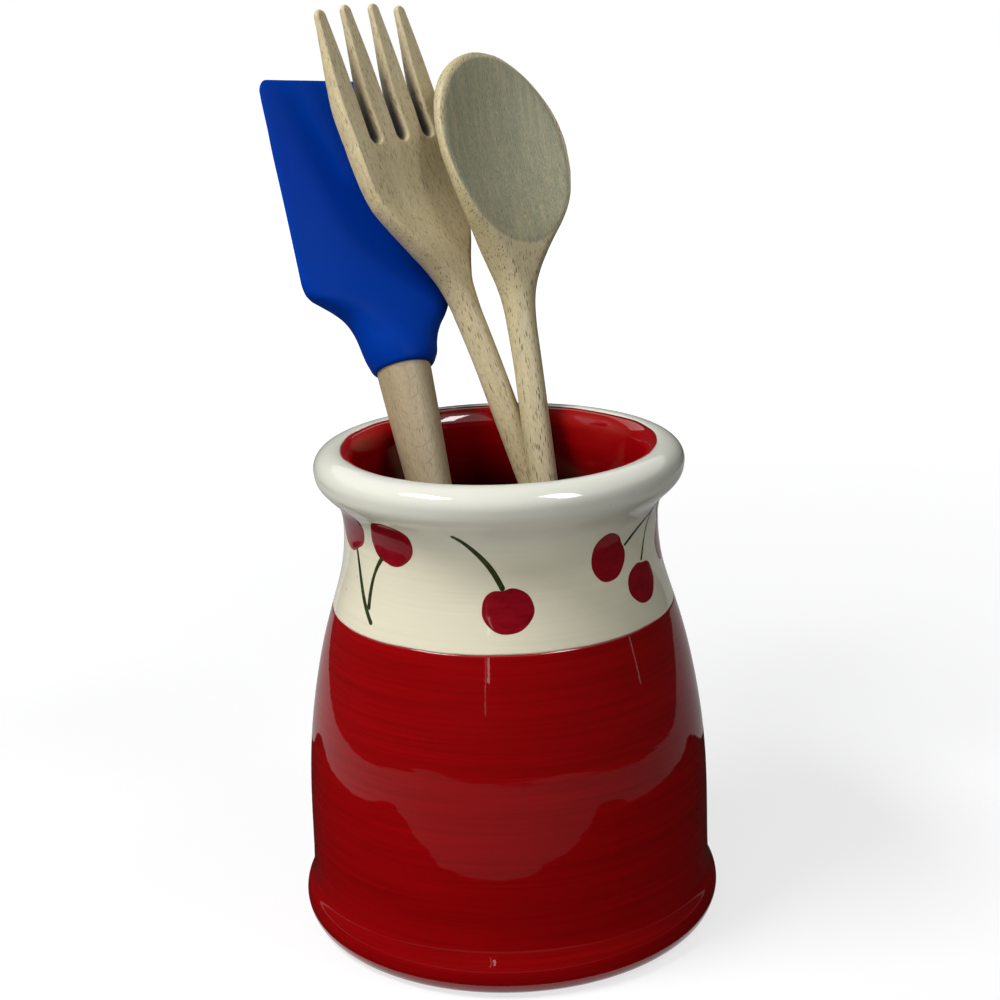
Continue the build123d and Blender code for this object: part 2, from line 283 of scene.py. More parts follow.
# The crock's section: radius and height of its outside, over the rim and down the inside to the floor
crock = {
    "footCentre": (70.5, 8.45), "footReach": (6.8, 8.45), "footEnd": 38,
    "side": [(74.75, 16.0), (74.22, 19.5), (74.02, 25), (73.92, 33), (73.67, 50), (72.39, 70), (69.47, 90),
             (65.51, 108), (61.35, 122), (57.75, 135), (56.45, 146), (56.82, 155), (58.2, 159.2),
             (60.5, 161.9), (63.1, 164.4), (65.3, 167.4), (66.05, 171.3)],
    "rimCentre": (58.2, 171.3), "rimReach": (7.85, 6.7),
    "lipCentre": (58.2, 171.0), "lipReach": (7.0, 7.0),
    "bore": [(51.2, 171.0), (51.15, 162), (51.2, 150), (52.5, 135), (56.1, 121.5), (60.1, 108), (64.1, 90),
             (67.0, 70), (68.2, 50), (68.5, 32), (68.5, 12)],
    "floorCentre": (64.5, 12.0), "floorReach": (4.0, 4.0), "floorHeight": 8.0,
    "footRing": [(0, 2), (30, 2), (60.5, 2), (62.1, 1.7), (63.3, 0.45), (64.4, 0), (67, 0), (70.4, 0)],
    "height": 178, "coat": 0.5, "clayGap": 0.01, "glazeStop": 1.2, "bandHeight": 120.4, "mouthRadius": 56.3,
    "bandWaver": 0.16, "mouthWaver": 0.35, "outOfRound": 0.0016667, "ovalTurn": 20.05, "around": 288,
    "rows": {"foot": 40, "side": 420, "rim": 50, "lip": 50, "bore": 300, "corner": 24, "floor": 60,
             "redCoat": 150, "creamCoat": 130, "linerCoat": 150, "clay": 220},
}
rowCounts = crock["rows"]
allRound = np.linspace(0, 360, crock["around"], endpoint=False)[None, :]


def crockSection():
    # The whole outline as one dense run of radius and height, from the foot's seat to the floor's middle:
    # elliptical arcs for foot, rim, lip and floor corner, splines for the side and the bore between them
    foot = arcPoints(crock["footCentre"], crock["footReach"], -90, crock["footEnd"], rowCounts["foot"])
    floor = np.linspace((crock["floorCentre"][0], crock["floorHeight"]), (0, crock["floorHeight"]),
                        rowCounts["floor"])
    runs = [
        throughPoints([foot[-1], *crock["side"]], rowCounts["side"]),
        arcPoints(crock["rimCentre"], crock["rimReach"], 0, 90, rowCounts["rim"]),
        arcPoints(crock["lipCentre"], crock["lipReach"], 90, 180, rowCounts["lip"]),
        throughPoints(crock["bore"], rowCounts["bore"]),
        arcPoints(crock["floorCentre"], crock["floorReach"], 0, -90, rowCounts["corner"]),
        floor,
    ]
    return np.concatenate([foot] + [run[1:] for run in runs])


section = crockSection()
sectionRun = np.concatenate([[0], np.cumsum(np.hypot(*np.diff(section, axis=0).T))])
sectionSlope = np.gradient(section, sectionRun, axis=0)
sectionNormal = np.stack([sectionSlope[:, 1], -sectionSlope[:, 0]], -1)
sectionNormal /= np.linalg.norm(sectionNormal, axis=1, keepdims=True)
rimTop = int(section[:, 1].argmax())


def runAtHeight(height):
    # Distance along the section, on the outside, at a height
    return np.interp(height, section[:rimTop + 1, 1], sectionRun[:rimTop + 1])


def wallPoint(run, bearing, lift=0.0):
    # A point of the crock's surface: radius and height at a distance along the section, moved off it along its
    # normal, and turned to a bearing from the viewer's side; the thrown wall is a little oval towards the top
    run, bearing = np.broadcast_arrays(run, bearing)
    radius, height = [np.interp(run, sectionRun, section[:, axis])
                      + lift * np.interp(run, sectionRun, sectionNormal[:, axis]) for axis in (0, 1)]
    angle = np.radians(bearing)
    oval = np.sin(2 * (angle + np.radians(crock["ovalTurn"]))) * height / crock["height"]
    radius = radius * (1 + crock["outOfRound"] * oval)
    return np.stack([radius * np.sin(angle), -radius * np.cos(angle), height], -1)


def coatGrid(start, end, rows):
    # A closed coat of glaze between two lines: its outside, then its inside one coat lower
    run = start + (end - start) * np.linspace(0, 1, rows)[:, None]
    return np.concatenate([wallPoint(run, allRound), wallPoint(run[::-1], allRound, -crock["coat"])])


def waver(size, seed):
    # A hand-painted line's small ups and downs round the crock: five sine waves, finer ones smaller
    turns = np.array([3, 5, 8, 13, 21])[:, None]
    phase = seed * np.array([1.0, 2.3, 3.9, 5.1, 0.4])[:, None]
    return (size * np.sin(turns * np.radians(allRound) + phase) / np.sqrt(turns)).sum(0)[None, :]


def clayGrid():
    # The clay under the coats: the section one coat lower, closed by the bare foot ring and the recess
    run = np.linspace(footRun, sectionRun[-1], rowCounts["clay"])[:, None]
    seatRows = section[1:rowCounts["foot"]]
    foot = np.concatenate([crock["footRing"], seatRows[seatRows[:, 1] < crock["glazeStop"]]])
    angle = np.radians(allRound)
    below = np.stack([foot[:, :1] * np.sin(angle), -foot[:, :1] * np.cos(angle), foot[:, 1:] + 0 * angle], -1)
    return np.concatenate([below, wallPoint(run, allRound, -crock["coat"] - crock["clayGap"])])


# Glazes: two tones, the share of brush lines, specks, and the heights and tone of a second tone laid on by height
glazes = {
    "redGlaze": {"deep": (126, 2, 4), "bright": (158, 5, 9), "brush": 0.6, "speck": 0.25},
    # The liner's second tone is painted shade: near black below the neck, deep inside the crock
    "linerGlaze": {"deep": (140, 3, 8), "bright": (172, 8, 14), "brush": 0.5, "speck": 0.2,
                   "heightRamp": (0.167, 0.147, 0, 0.9), "heightTone": (28.6, 1.3, 2)},
    # The cream's second tone: cooler and greyer over the rim
    "creamGlaze": {"deep": (224, 217, 192), "bright": (235, 229, 203), "brush": 0.4, "speck": 0.35,
                   "heightRamp": (0.150, 0.172, 0, 0.85), "heightTone": (217, 218, 207)},
    "grain": {"lines": (14, 14, 900), "bands": (9, 9, 90), "clouds": 28, "specks": 190, "speckTone": (63, 39, 29),
              "ripples": (30, 30, 190), "pits": 900, "relief": 0.00022, "index": 1.46, "rough": (0.02, 0.045)},
}


def glazeFinish(name):
    # Glossy glaze: fine brush lines round the pot, slow bands, a few pin specks, and a second tone by height:
    # painted shade deep in the liner, a cooler grey over the cream's rim
    glaze, grain = glazes[name], glazes["grain"]
    look = Surface(name)
    lines = look.noise(grain["lines"], 4, 0.6)
    bands = look.noise(grain["bands"], 3, 0.55)
    streak = look.product(look.ramp(lines, 0.32, 0.70), glaze["brush"])
    tone = look.math("ADD", streak, look.ramp(bands, 0.30, 0.72, 0, 1 - glaze["brush"]))
    color = look.mix(tone, socketColor(glaze["deep"]), socketColor(glaze["bright"]))
    spots = look.add("ShaderNodeTexVoronoi", {"Vector": look.coordinates, "Scale": grain["specks"]}, feature="F1")
    dots = look.product(look.ramp(spots.outputs["Distance"], 0.05, 0.11, 1, 0),
                        look.ramp(look.noise(grain["clouds"]), 0.62, 0.66), glaze["speck"])
    color = look.mix(dots, color, socketColor(grain["speckTone"]))
    # A second tone by height: in the liner a painted shade, dark below the neck
    if "heightRamp" in glaze:
        height = look.add("ShaderNodeSeparateXYZ", {"Vector": look.coordinates}).outputs["Z"]
        color = look.mix(look.ramp(height, *glaze["heightRamp"]), color, socketColor(glaze["heightTone"]))
    ripple = look.math("ADD", look.product(look.noise(grain["ripples"]), 0.7),
                       look.product(look.noise(grain["pits"]), 0.05))
    look.bump(ripple, grain["relief"], 0.3)
    look.shader.inputs["IOR"].default_value = grain["index"]
    return look.finish(color, look.ramp(bands, 0.2, 0.8, *grain["rough"]))


clay = {"buff": (150, 118, 92), "grit": (118, 88, 66), "toast": (98, 68, 50), "gritScale": 1400,
        "toastScale": 60, "relief": 0.0003, "rough": 0.85}


def bareClay():
    # Unglazed stoneware: buff with fine grit, toasted in patches
    look = Surface("bareClay")
    grit = look.noise(clay["gritScale"], 4, 0.7)
    color = look.mix(look.ramp(grit, 0.35, 0.7), socketColor(clay["buff"]), socketColor(clay["grit"]))
    color = look.mix(look.ramp(look.noise(clay["toastScale"], 3), 0.4, 0.8, 0, 0.35), color,
                     socketColor(clay["toast"]))
    look.bump(grit, clay["relief"], 0.6)
    return look.finish(color, clay["rough"])


# Where the coats meet, as distances along the section: above the foot, at the band line and on the lip
footRows = slice(0, rowCounts["foot"])
lipRows = slice(rimTop, rimTop + rowCounts["lip"])
footRun = np.interp(crock["glazeStop"], section[footRows, 1], sectionRun[footRows])
bandRun = runAtHeight(crock["bandHeight"]) + waver(crock["bandWaver"], 1.7)
mouthRun = (np.interp(-crock["mouthRadius"], -section[lipRows, 0], sectionRun[lipRows])
            + waver(crock["mouthWaver"], 0.6))

seat(gridObject("redGlazeCoat", coatGrid(footRun, bandRun, rowCounts["redCoat"]), True),
     "crock", "glaze_red", glazeFinish("redGlaze"), "red_glaze")
seat(gridObject("creamGlazeCoat", coatGrid(bandRun, mouthRun, rowCounts["creamCoat"]), True),
     "crock", "glaze_cream", glazeFinish("creamGlaze"), "cream_glaze")
seat(gridObject("linerGlazeCoat", coatGrid(mouthRun, sectionRun[-1], rowCounts["linerCoat"]), True),
     "crock", "glaze_liner", glazeFinish("linerGlaze"), "liner_glaze")
seat(gridObject("clayCore", clayGrid()), "crock", "stoneware", bareClay(), "clay_body")
print("crock thrown and glazed")


# Painted fruit on the band: bearing from the viewer's side, height, half width and half height, and where the
# stem grows; stems go through four places of bearing and height
cherries = {
    "fruit": [
        {"at": (1.4, 134.6), "size": (8.9, 8.1), "tip": 100, "notch": 0.16},
        {"at": (-41.4, 154.9), "size": (9.7, 8.9), "tip": 250, "notch": 0.06},
        {"at": (-67.2, 156.4), "size": (11.6, 10.3), "tip": 300, "notch": 0.05},
        {"at": (39.9, 147.4), "size": (7.9, 8.6), "tip": 30, "notch": 0.10},
        {"at": (56.7, 134.6), "size": (8.9, 7.4), "tip": 80, "notch": 0.10},
        {"at": (80.5, 143.6), "size": (8.2, 8.4), "tip": 140, "notch": 0.10},
        {"at": (118.0, 136.5), "size": (8.6, 8.0), "tip": 85, "notch": 0.14},
        {"at": (152.0, 151.5), "size": (8.8, 8.6), "tip": 240, "notch": 0.10},
        {"at": (172.5, 150.0), "size": (8.5, 8.4), "tip": 290, "notch": 0.10},
        {"at": (208.0, 135.0), "size": (8.7, 7.9), "tip": 100, "notch": 0.14},
        {"at": (243.0, 147.0), "size": (8.0, 8.4), "tip": 35, "notch": 0.10},
        {"at": (259.5, 134.5), "size": (8.2, 7.6), "tip": 85, "notch": 0.10},
    ],
    "stems": [
        [(0.2, 141.2), (-3.6, 148.4), (-9.4, 155.2), (-16.3, 161.0)],
        [(-44.6, 150.2), (-49.8, 143.0), (-52.0, 133.5), (-51.6, 129.0)],
        [(-63.2, 150.0), (-60.0, 140.5), (-54.6, 131.0), (-48.6, 124.6)],
        [(47.4, 149.7), (56.0, 154.2), (64.0, 157.2), (70.5, 159.6)],
        [(57.6, 141.6), (60.8, 148.6), (64.2, 155.2), (70.0, 160.4)],
        [(78.0, 151.0), (75.5, 154.8), (73.2, 157.8), (71.2, 160.6)],
        [(119.5, 143.8), (123.0, 150.4), (128.5, 156.2), (134.5, 161.0)],
        [(150.0, 144.2), (153.5, 137.0), (158.5, 130.0), (162.5, 125.6)],
        [(171.0, 142.8), (169.0, 136.5), (166.5, 130.5), (163.5, 126.0)],
        [(207.0, 142.2), (204.0, 149.4), (199.0, 155.8), (193.0, 161.0)],
        [(250.5, 149.6), (257.5, 153.6), (264.5, 156.8), (271.0, 159.6)],
        [(261.0, 141.6), (264.0, 148.0), (267.6, 154.4), (272.0, 160.0)],
    ],
    "waves": [(3, 0.012), (7, 0.008)], "notchWidth": 0.30,
    "stemWidth": (1.9, 1.0), "fineStems": (3, 4, 10), "fineShare": 0.6, "stemRows": 60,
    "lightest": 0.35, "pressFrom": 0.35, "pressTurn": 0.8, "stemEnd": 0.03,
    "lift": 0.07, "stemLift": 0.056, "sink": 0.25,
    "cherryPaint": ((120, 6, 18), (148, 13, 30)), "stemPaint": ((34, 44, 20), (62, 72, 34)),
    "strokes": (160, 160, 420), "rough": (0.04, 0.09),
}


def fruitGrid(fruit):
    # A round patch: rings from the middle to an outline that two sine waves make uneven and a bell curve notches
    # where the stem grows; its edge sinks into the glaze, and the same rings close it underneath
    angle = np.linspace(0, 2 * np.pi, 96, endpoint=False)[None, :]
    ring = np.concatenate([np.linspace(0, 0.97, 13), [0.985, 0.995, 1.0]])[:, None]
    off = np.abs((angle - np.radians(fruit["tip"]) + np.pi) % (2 * np.pi) - np.pi)
    reach = 1 + sum(size * np.sin(turns * angle + start)
                    for (turns, size), start in zip(cherries["waves"], fruit["at"]))
    reach = reach * (1 - fruit["notch"] * np.exp(-(off / cherries["notchWidth"])**2)) * ring
    run = runAtHeight(fruit["at"][1]) + fruit["size"][1] * reach * np.sin(angle)
    radius = np.interp(run, sectionRun, section[:, 0])
    bearing = fruit["at"][0] + np.degrees(fruit["size"][0] * reach * np.cos(angle) / radius)
    top = wallPoint(run, bearing, cherries["lift"] * (1 - 1.2 * ring**24))
    return np.concatenate([top, wallPoint(run, bearing, -cherries["sink"])[::-1]])


def stemGrid(stem, number):
    # A brush stroke: a spline through four places, its width a sine between thin and thick, its ends rounded
    line = throughPoints([(bearing, runAtHeight(height)) for bearing, height in stem], cherries["stemRows"])
    radius = np.interp(line[:, 1], sectionRun, section[:, 0])
    flat = np.stack([np.radians(line[:, 0]) * radius, line[:, 1]], -1)
    way = np.gradient(flat, axis=0)
    way /= np.linalg.norm(way, axis=1, keepdims=True)
    side = np.stack([-way[:, 1], way[:, 0]], -1)
    share = np.linspace(0, 1, cherries["stemRows"])
    thick, thin = cherries["stemWidth"]
    press = np.abs(np.sin(np.pi * (cherries["pressFrom"] + cherries["pressTurn"] * share) + number))
    press = cherries["lightest"] + (1 - cherries["lightest"]) * press
    toEnd = np.clip((0.5 - np.abs(share - 0.5)) / cherries["stemEnd"], 0, 1)
    half = (thin + (thick - thin) * press) / 2 * np.sqrt(1 - (1 - toEnd)**2)
    half = half * (cherries["fineShare"] if number in cherries["fineStems"] else 1)
    across = np.linspace(-1, 1, 5)
    edge = flat[:, None] + side[:, None] * (half[:, None] * across)[..., None]
    run, bearing = edge[..., 1], np.degrees(edge[..., 0] / radius[:, None])
    top = wallPoint(run, bearing, cherries["stemLift"])
    return np.concatenate([top, wallPoint(run, bearing, -cherries["sink"])[:, ::-1]], axis=1)


def paintFinish(name):
    # Brush paint under the glaze: uneven strokes between two tones, as glossy and rippled as the glaze round it
    look = Surface(name)
    deep, bright = cherries[name]
    strokes = look.noise(cherries["strokes"], 4, 0.6, 0.6)
    look.bump(look.noise(glazes["grain"]["ripples"]), glazes["grain"]["relief"], 0.3)
    look.shader.inputs["IOR"].default_value = glazes["grain"]["index"]
    color = look.mix(look.ramp(strokes, 0.3, 0.72), socketColor(deep), socketColor(bright))
    return look.finish(color, look.ramp(strokes, 0.2, 0.8, *cherries["rough"]))


fruitPaint, stemPaint = paintFinish("cherryPaint"), paintFinish("stemPaint")
for number, fruit in enumerate(cherries["fruit"]):
    seat(gridObject(f"cherry{number + 1:02d}", fruitGrid(fruit)), "crock", "glaze_cream", fruitPaint)
for number, stem in enumerate(cherries["stems"]):
    seat(gridObject(f"stem{number + 1:02d}", stemGrid(stem, number)), "crock", "glaze_cream", stemPaint)
print("band painted")


def standing(foot, axis, turn):
    # Where an upright utensil stands: turned about itself, leaned to its axis, moved to its foot
    back = -np.arctan2(axis[1], axis[2])
    side = np.arcsin(axis[0])
    lean = Matrix.Rotation(back, 4, "X") @ Matrix.Rotation(side, 4, "Y") @ Matrix.Rotation(np.radians(turn), 4, "Z")
    return Matrix.Translation([part * millimetre for part in foot]) @ lean


# Beech's grain: scales across and along the piece; flecks are cells and their reach, seven times as long
beechGrain = {
    "slow": (90, 90, 14), "bands": (420, 420, 16), "grain": (2600, 2600, 700), "fibre": (1700, 1700, 110),
    "broken": (300, 300, 90), "flecks": [(1150, 0.26), (820, 0.21), (1600, 0.27)], "fleckLength": 7,
    "bleach": 1.35, "relief": 0.00016, "rough": (0.5, 0.62),
}


def growthRings(look, local, wood):
    # Late wood: a saw wave round a pith beside the piece, one tooth a year, broken up by a coarse noise
    pith = look.mapped(local, Location=wood["pith"], Rotation=Euler(np.radians(wood["tilt"])))
    wave = look.add("ShaderNodeTexWave", {"Vector": pith, "Scale": 2 * np.pi / 20 / wood["pitch"],
                                          "Distortion": wood["sway"], "Detail": 2, "Detail Scale": 0.5,
                                          "Detail Roughness": 0.5, "Phase Offset": wood["seed"]},
                    wave_type="RINGS", rings_direction="Z", wave_profile="SAW").outputs["Fac"]
    broken = look.ramp(look.noise(beechGrain["broken"], source=local), 0.40, 0.62)
    return look.product(look.ramp(wave, wood["late"], 1.0), broken)


def fleckMarks(look, local, wood):
    # Short dark flecks along the grain: stretched cells, near whose middles some are marked
    marks = 0.0
    for cell, reach in beechGrain["flecks"]:
        cells = look.mapped(local, Location=[wood["seed"]] * 3,
                            Scale=(cell, cell, cell / beechGrain["fleckLength"]))
        spots = look.add("ShaderNodeTexVoronoi", {"Vector": cells, "Scale": 1.0}, feature="F1").outputs
        some = look.add("ShaderNodeSeparateColor", {"Color": spots["Color"]}).outputs["Red"]
        fleck = look.product(look.ramp(spots["Distance"], reach * 0.6, reach, 1, 0), look.ramp(some, 0.15, 0.65))
        marks = look.math("MAXIMUM", fleck, marks)
    return look.product(marks, wood["flecks"])


def slotShade(look, local, slots):
    # Painted shade inside the sawn slots: near their centre lines, between the outer tines, away from the front and
    # fading up
    across, depth, height = look.add("ShaderNodeSeparateXYZ", {"Vector": local}).outputs
    turn = look.math("FRACT", look.math("ADD", look.math("DIVIDE", across, slots["pitch"]), 0.5))
    offLine = look.math("ABSOLUTE", look.math("SUBTRACT", turn, 0.5))
    return look.product(look.ramp(offLine, 0.22, 0.26, 1, 0),
                        look.ramp(look.math("ABSOLUTE", across), *slots["sides"], 1, 0),
                        look.ramp(depth, *slots["depth"]), look.ramp(height, *slots["foot"]),
                        look.ramp(height, *slots["fade"], 1, 0), slots["strength"])


def beech(name, place, wood):
    # Beech: slow tone, bands and fibres between light and dark, growth rings and flecks in the pores' tone;
    # a bowl's face gets painted shade inside an oval, and sawn slots get painted shade inside
    look = Surface(name)
    light, dark, pore = [socketColor(wood[tone]) for tone in ("light", "dark", "pore")]
    bleached = (*[min(part * beechGrain["bleach"], 1) for part in light[:3]], 1)
    local = look.mapped(kind="TEXTURE", Location=place.translation, Rotation=place.to_euler("XYZ"))
    slow, bands, fibre, grain = [look.noise(beechGrain[key], detail, rough, source=local) for key, detail, rough in
                                 (("slow", 3, 0.5), ("bands", 3, 0.6), ("fibre", 3, 0.65), ("grain", 2, 0.6))]
    color = look.mix(look.ramp(slow, 0.3, 0.7), light, dark)
    marks = fleckMarks(look, local, wood)
    # Painted shade on the bowl's face: a greyer, darker tone inside an oval on the front, where flecks fade
    if "paintedFaceShade" in wood:
        away = look.mapped(local, "TEXTURE", Location=wood["paintedFaceShade"]["centre"], Scale=wood["paintedFaceShade"]["reach"])
        away = look.add("ShaderNodeVectorMath", {"Vector": away}, operation="LENGTH").outputs["Value"]
        depth = look.add("ShaderNodeSeparateXYZ", {"Vector": local}).outputs["Y"]
        inPaintedShade = look.product(look.ramp(away, 0.985, 1.015, 1, 0), look.ramp(depth, 0.0015, 0.003, 1, 0))
        color = look.mix(inPaintedShade, color, socketColor(wood["paintedFaceShade"]["tone"]))
        marks = look.product(marks, look.ramp(inPaintedShade, 0, 1, 1, 0.6))
    color = look.mix(look.ramp(bands, 0.45, 0.75, 0, 0.45), color, dark)
    color = look.mix(look.ramp(grain, 0.48, 0.75, 0, 0.30), color, pore)
    color = look.mix(look.ramp(grain, 0.25, 0.45, 0.30, 0), color, bleached)
    color = look.mix(look.product(growthRings(look, local, wood), wood["rings"]), color, pore)
    color = look.mix(look.ramp(fibre, 0.42, 0.72, 0, 0.42), color, dark)
    color = look.mix(marks, color, pore)
    # Painted shade inside the slots, darkest low in them
    if "slots" in wood:
        color = look.mix(slotShade(look, local, wood["slots"]), color, socketColor(wood["slots"]["tone"]))
    look.bump(look.math("SUBTRACT", look.product(fibre, 0.4), marks), beechGrain["relief"], 0.6)
    return look.finish(color, look.ramp(fibre, 0.3, 0.7, *beechGrain["rough"]))


# Spatula handle: turned, with a round butt, a slim waist and a swelling up to the collar
spatula = {
    "foot": (5.60, -59.24, 16.7), "turn": 30.0, "butt": 8.4,
    "turning": [(0, 8.4), (35, 7.9), (75, 7.25), (104.7, 7.0), (140, 7.3), (160, 7.95), (180, 8.9), (200, 9.85),
                (209.4, 10.2), (226, 10.3)],
    "buried": 214.0, "rows": 150, "around": 96,
    "wood": {"light": (175, 159, 126), "dark": (153, 136, 103), "pore": (104, 80, 52), "flecks": 0.50, "seed": 1.3,
             "pith": (-0.007, -0.012, 0), "tilt": (13.0, -7.5, 0), "pitch": 0.0019, "sway": 0.9, "late": 0.86,
             "rings": 0.55},
}
spatulaPlace = standing(spatula["foot"], liftAxes["spatula_lift"], spatula["turn"])


def handleGrid():
    # Radius by height turned round the axis, with a round butt and a flat end hidden in the silicone
    heights = heightRows((0, spatula["buried"]), (spatula["rows"],))
    radius = np.concatenate([tableCurve(spatula["turning"], 1, heights), [[0]]])
    cosine, sine = ovalShares(spatula["around"], 2)
    heights = np.concatenate([heights, heights[-1:]])
    return roundEnd(np.stack([radius * cosine, radius * sine, heights + 0 * cosine], -1), spatula["butt"], 16)


seat(gridObject("spatulaHandle", handleGrid(), place=spatulaPlace), "spatula", "beech_turned",
     beech("turnedBeech", spatulaPlace, spatula["wood"]), "spatula_handle")

# Silicone head: height, left reach, right reach, half thickness, power of the section
blade = {
    "rows": [
        (209.2, 10.5, 10.5, 10.5, 2.0), (209.4, 11.0, 11.1, 10.9, 2.0), (210.1, 11.7, 12.0, 11.4, 2.0),
        (211.6, 12.4, 13.0, 11.7, 2.0), (214.0, 13.4, 14.3, 11.6, 2.05), (218.0, 14.6, 15.4, 10.9, 2.1),
        (222.0, 15.6, 17.0, 9.8, 2.2), (226.0, 17.0, 19.3, 8.7, 2.4), (230.0, 19.6, 22.4, 7.8, 2.6),
        (233.5, 23.9, 24.5, 7.1, 2.8), (236.0, 28.2, 25.4, 6.7, 2.9), (238.2, 31.8, 25.8, 6.3, 3.0),
        (241.0, 33.7, 26.0, 5.9, 3.0), (245.0, 34.4, 26.0, 5.4, 3.0), (255.0, 34.5, 26.0, 4.6, 3.0),
        (270.0, 34.6, 26.0, 3.7, 3.0), (285.0, 34.8, 25.9, 3.0, 3.0), (298.0, 35.0, 24.6, 2.5, 3.0),
        (309.0, 34.9, 22.0, 2.2, 3.0), (318.0, 35.0, 18.2, 2.0, 3.0), (323.4, 34.9, 14.2, 1.8, 3.0),
        (325.9, 34.2, 11.8, 1.55, 3.0), (327.4, 33.2, 9.9, 1.2, 3.0), (328.2, 32.2, 8.3, 0.75, 3.0),
        (328.5, 31.1, 7.0, 0.05, 3.0),
    ],
    "stops": (209.2, 212, 246, 320), "steps": (12, 60, 70), "top": (328.5, 30), "around": 160,
    "thinFrom": 226, "thinRise": 24, "thinShare": 0.35, "thinReach": 30,
    "topSlope": 0.022, "slopeFrom": 245, "slopeRise": 84, "socketRadius": 10.45, "socketHeights": (216.0, 209.3),
    "deep": (0, 50, 150), "bloom": (0, 52, 148), "cloudScale": 26, "grainScale": 2600, "relief": 0.00006,
    "specular": 0.02, "rough": (0.46, 0.54),
}


def bladeGrid():
    # Sections whose left and right reach differ; above the collar the thickness falls with the square of the
    # distance from the middle, the top slopes, and the first two rows line the socket
    heights = heightRows(blade["stops"], blade["steps"], blade["top"])
    left, right, thick, power = tableCurves(blade["rows"], heights)
    cosine, sine = ovalShares(blade["around"], power)
    across = np.where(cosine < 0, left, right) * cosine
    flat = np.clip((heights - blade["thinFrom"]) / blade["thinRise"], 0, 1)
    crown = 1 - blade["thinShare"] * flat * np.clip(np.abs(across) / blade["thinReach"], 0, 1)**2
    slope = blade["topSlope"] * np.clip((heights - blade["slopeFrom"]) / blade["slopeRise"], 0, 1)
    outside = np.stack([across, thick * crown * sine, heights + slope * across], -1)
    cosine, sine = ovalShares(blade["around"], 2)
    level = np.array(blade["socketHeights"])[:, None]
    inside = np.broadcast_arrays(blade["socketRadius"] * cosine, blade["socketRadius"] * sine, level)
    return np.concatenate([np.stack(inside, -1), outside])


def silicone():
    # Matt silicone: even blue with a soft bloom and the finest mould texture
    look = Surface("blueSilicone")
    fine = look.noise(blade["grainScale"])
    color = look.mix(look.ramp(look.noise(blade["cloudScale"], 3), 0.3, 0.7), socketColor(blade["deep"]),
                     socketColor(blade["bloom"]))
    look.bump(fine, blade["relief"], 0.4)
    look.shader.inputs["Specular IOR Level"].default_value = blade["specular"]
    return look.finish(color, look.ramp(fine, 0.3, 0.7, *blade["rough"]))


seat(gridObject("spatulaBlade", bladeGrid(), place=spatulaPlace), "blade", "silicone_blue", silicone(),
     "spatula_blade")
print("spatula made")

# Wooden fork: height, half width, radius of the edge, half thickness, middle of the section; then half a tine,
# how far the neck is off the axis, how far each tip leans, and the tips' heights
fork = {
    "foot": (60.735, 2.121, 13.55), "turn": 50.0, "round": 5.25,
    "rows": [
        (0, 5.3, 5.3, 5.25, 0), (196, 5.3, 5.3, 5.25, 0.1), (212, 5.5, 5.4, 5.25, 0.5), (220, 5.8, 5.5, 5.2, 0.8),
        (225.3, 6.4, 5.4, 5.1, 0.8), (230.2, 7.4, 5.3, 5.0, 0.85), (235.4, 9.7, 4.9, 4.8, 0.85),
        (240.6, 12.5, 4.3, 4.65, 0.9), (245.8, 15.7, 3.6, 4.5, 1.1), (251.2, 18.8, 2.9, 4.15, 1.5),
        (256.3, 21.8, 2.3, 3.8, 1.95), (261.4, 24.5, 1.9, 3.55, 2.4), (266.0, 26.4, 1.6, 3.45, 2.8),
        (271.0, 27.4, 1.5, 3.4, 3.0), (276.0, 27.9, 1.4, 3.4, 3.05), (284.0, 27.95, 1.3, 3.45, 3.1),
        (292.5, 27.5, 1.2, 3.5, 3.15), (303.0, 27.3, 1.1, 3.35, 2.9), (314.0, 26.9, 1.05, 2.8, 1.85),
        (326.0, 26.0, 1.0, 2.0, 0.3), (338.0, 25.3, 0.95, 1.3, -1.0), (344.0, 24.8, 0.9, 1.1, -1.5),
    ],
    "tine": [(284, 4.9), (292.5, 4.9), (303, 5.05), (314, 4.7), (326, 3.8), (338, 2.75), (344, 2.3)],
    "shift": [(222, 0), (232, -0.4), (246, -0.5), (256, -0.4), (270, 0)],
    "pitch": 15.2, "lean": (0.2, -0.3, 0.5, 0.1), "leanRise": 50,
    "tops": (341.7, 343.0, 342.9, 341.5), "capDrop": 2.4,
    "slotCentre": 292.3, "slotRadius": 2.7, "plateFrom": 222, "plateRise": 44,
    "dish": 0.9, "dishHeight": 272, "dishLength": 14, "dishHalfWidth": 28,
    "shaftStop": 200, "shaftSteps": (50, 110), "tineSteps": 60,
    "wood": {"light": (214, 200, 160), "dark": (189, 171, 129), "pore": (82, 60, 36), "flecks": 0.70, "seed": 4.1,
             "pith": (0.06, 0.03, 0.0), "tilt": (1, -1, 0), "pitch": 0.0022, "sway": 1.5, "late": 0.6, "rings": 0.10,
             # painted shade inside the slots: its pitch, sides, depth, foot and fade, strength and tone
             "slots": {"pitch": 0.0152, "sides": (0.020, 0.023), "depth": (0.0003, 0.0024),
                       "foot": (0.2880, 0.2895), "fade": (0.300, 0.326), "strength": 0.8, "tone": (64, 52, 34)}},
}
forkPlace = standing(fork["foot"], liftAxes["fork_lift"], fork["turn"])


def tineMiddle(number, heights):
    # A tine's centre line: evenly spaced at the slots, hand-carved a little off true at the tip
    climb = np.clip((heights - fork["slotCentre"]) / fork["leanRise"], 0, 1)
    return (number - 1.5) * fork["pitch"] + fork["lean"][number] * climb


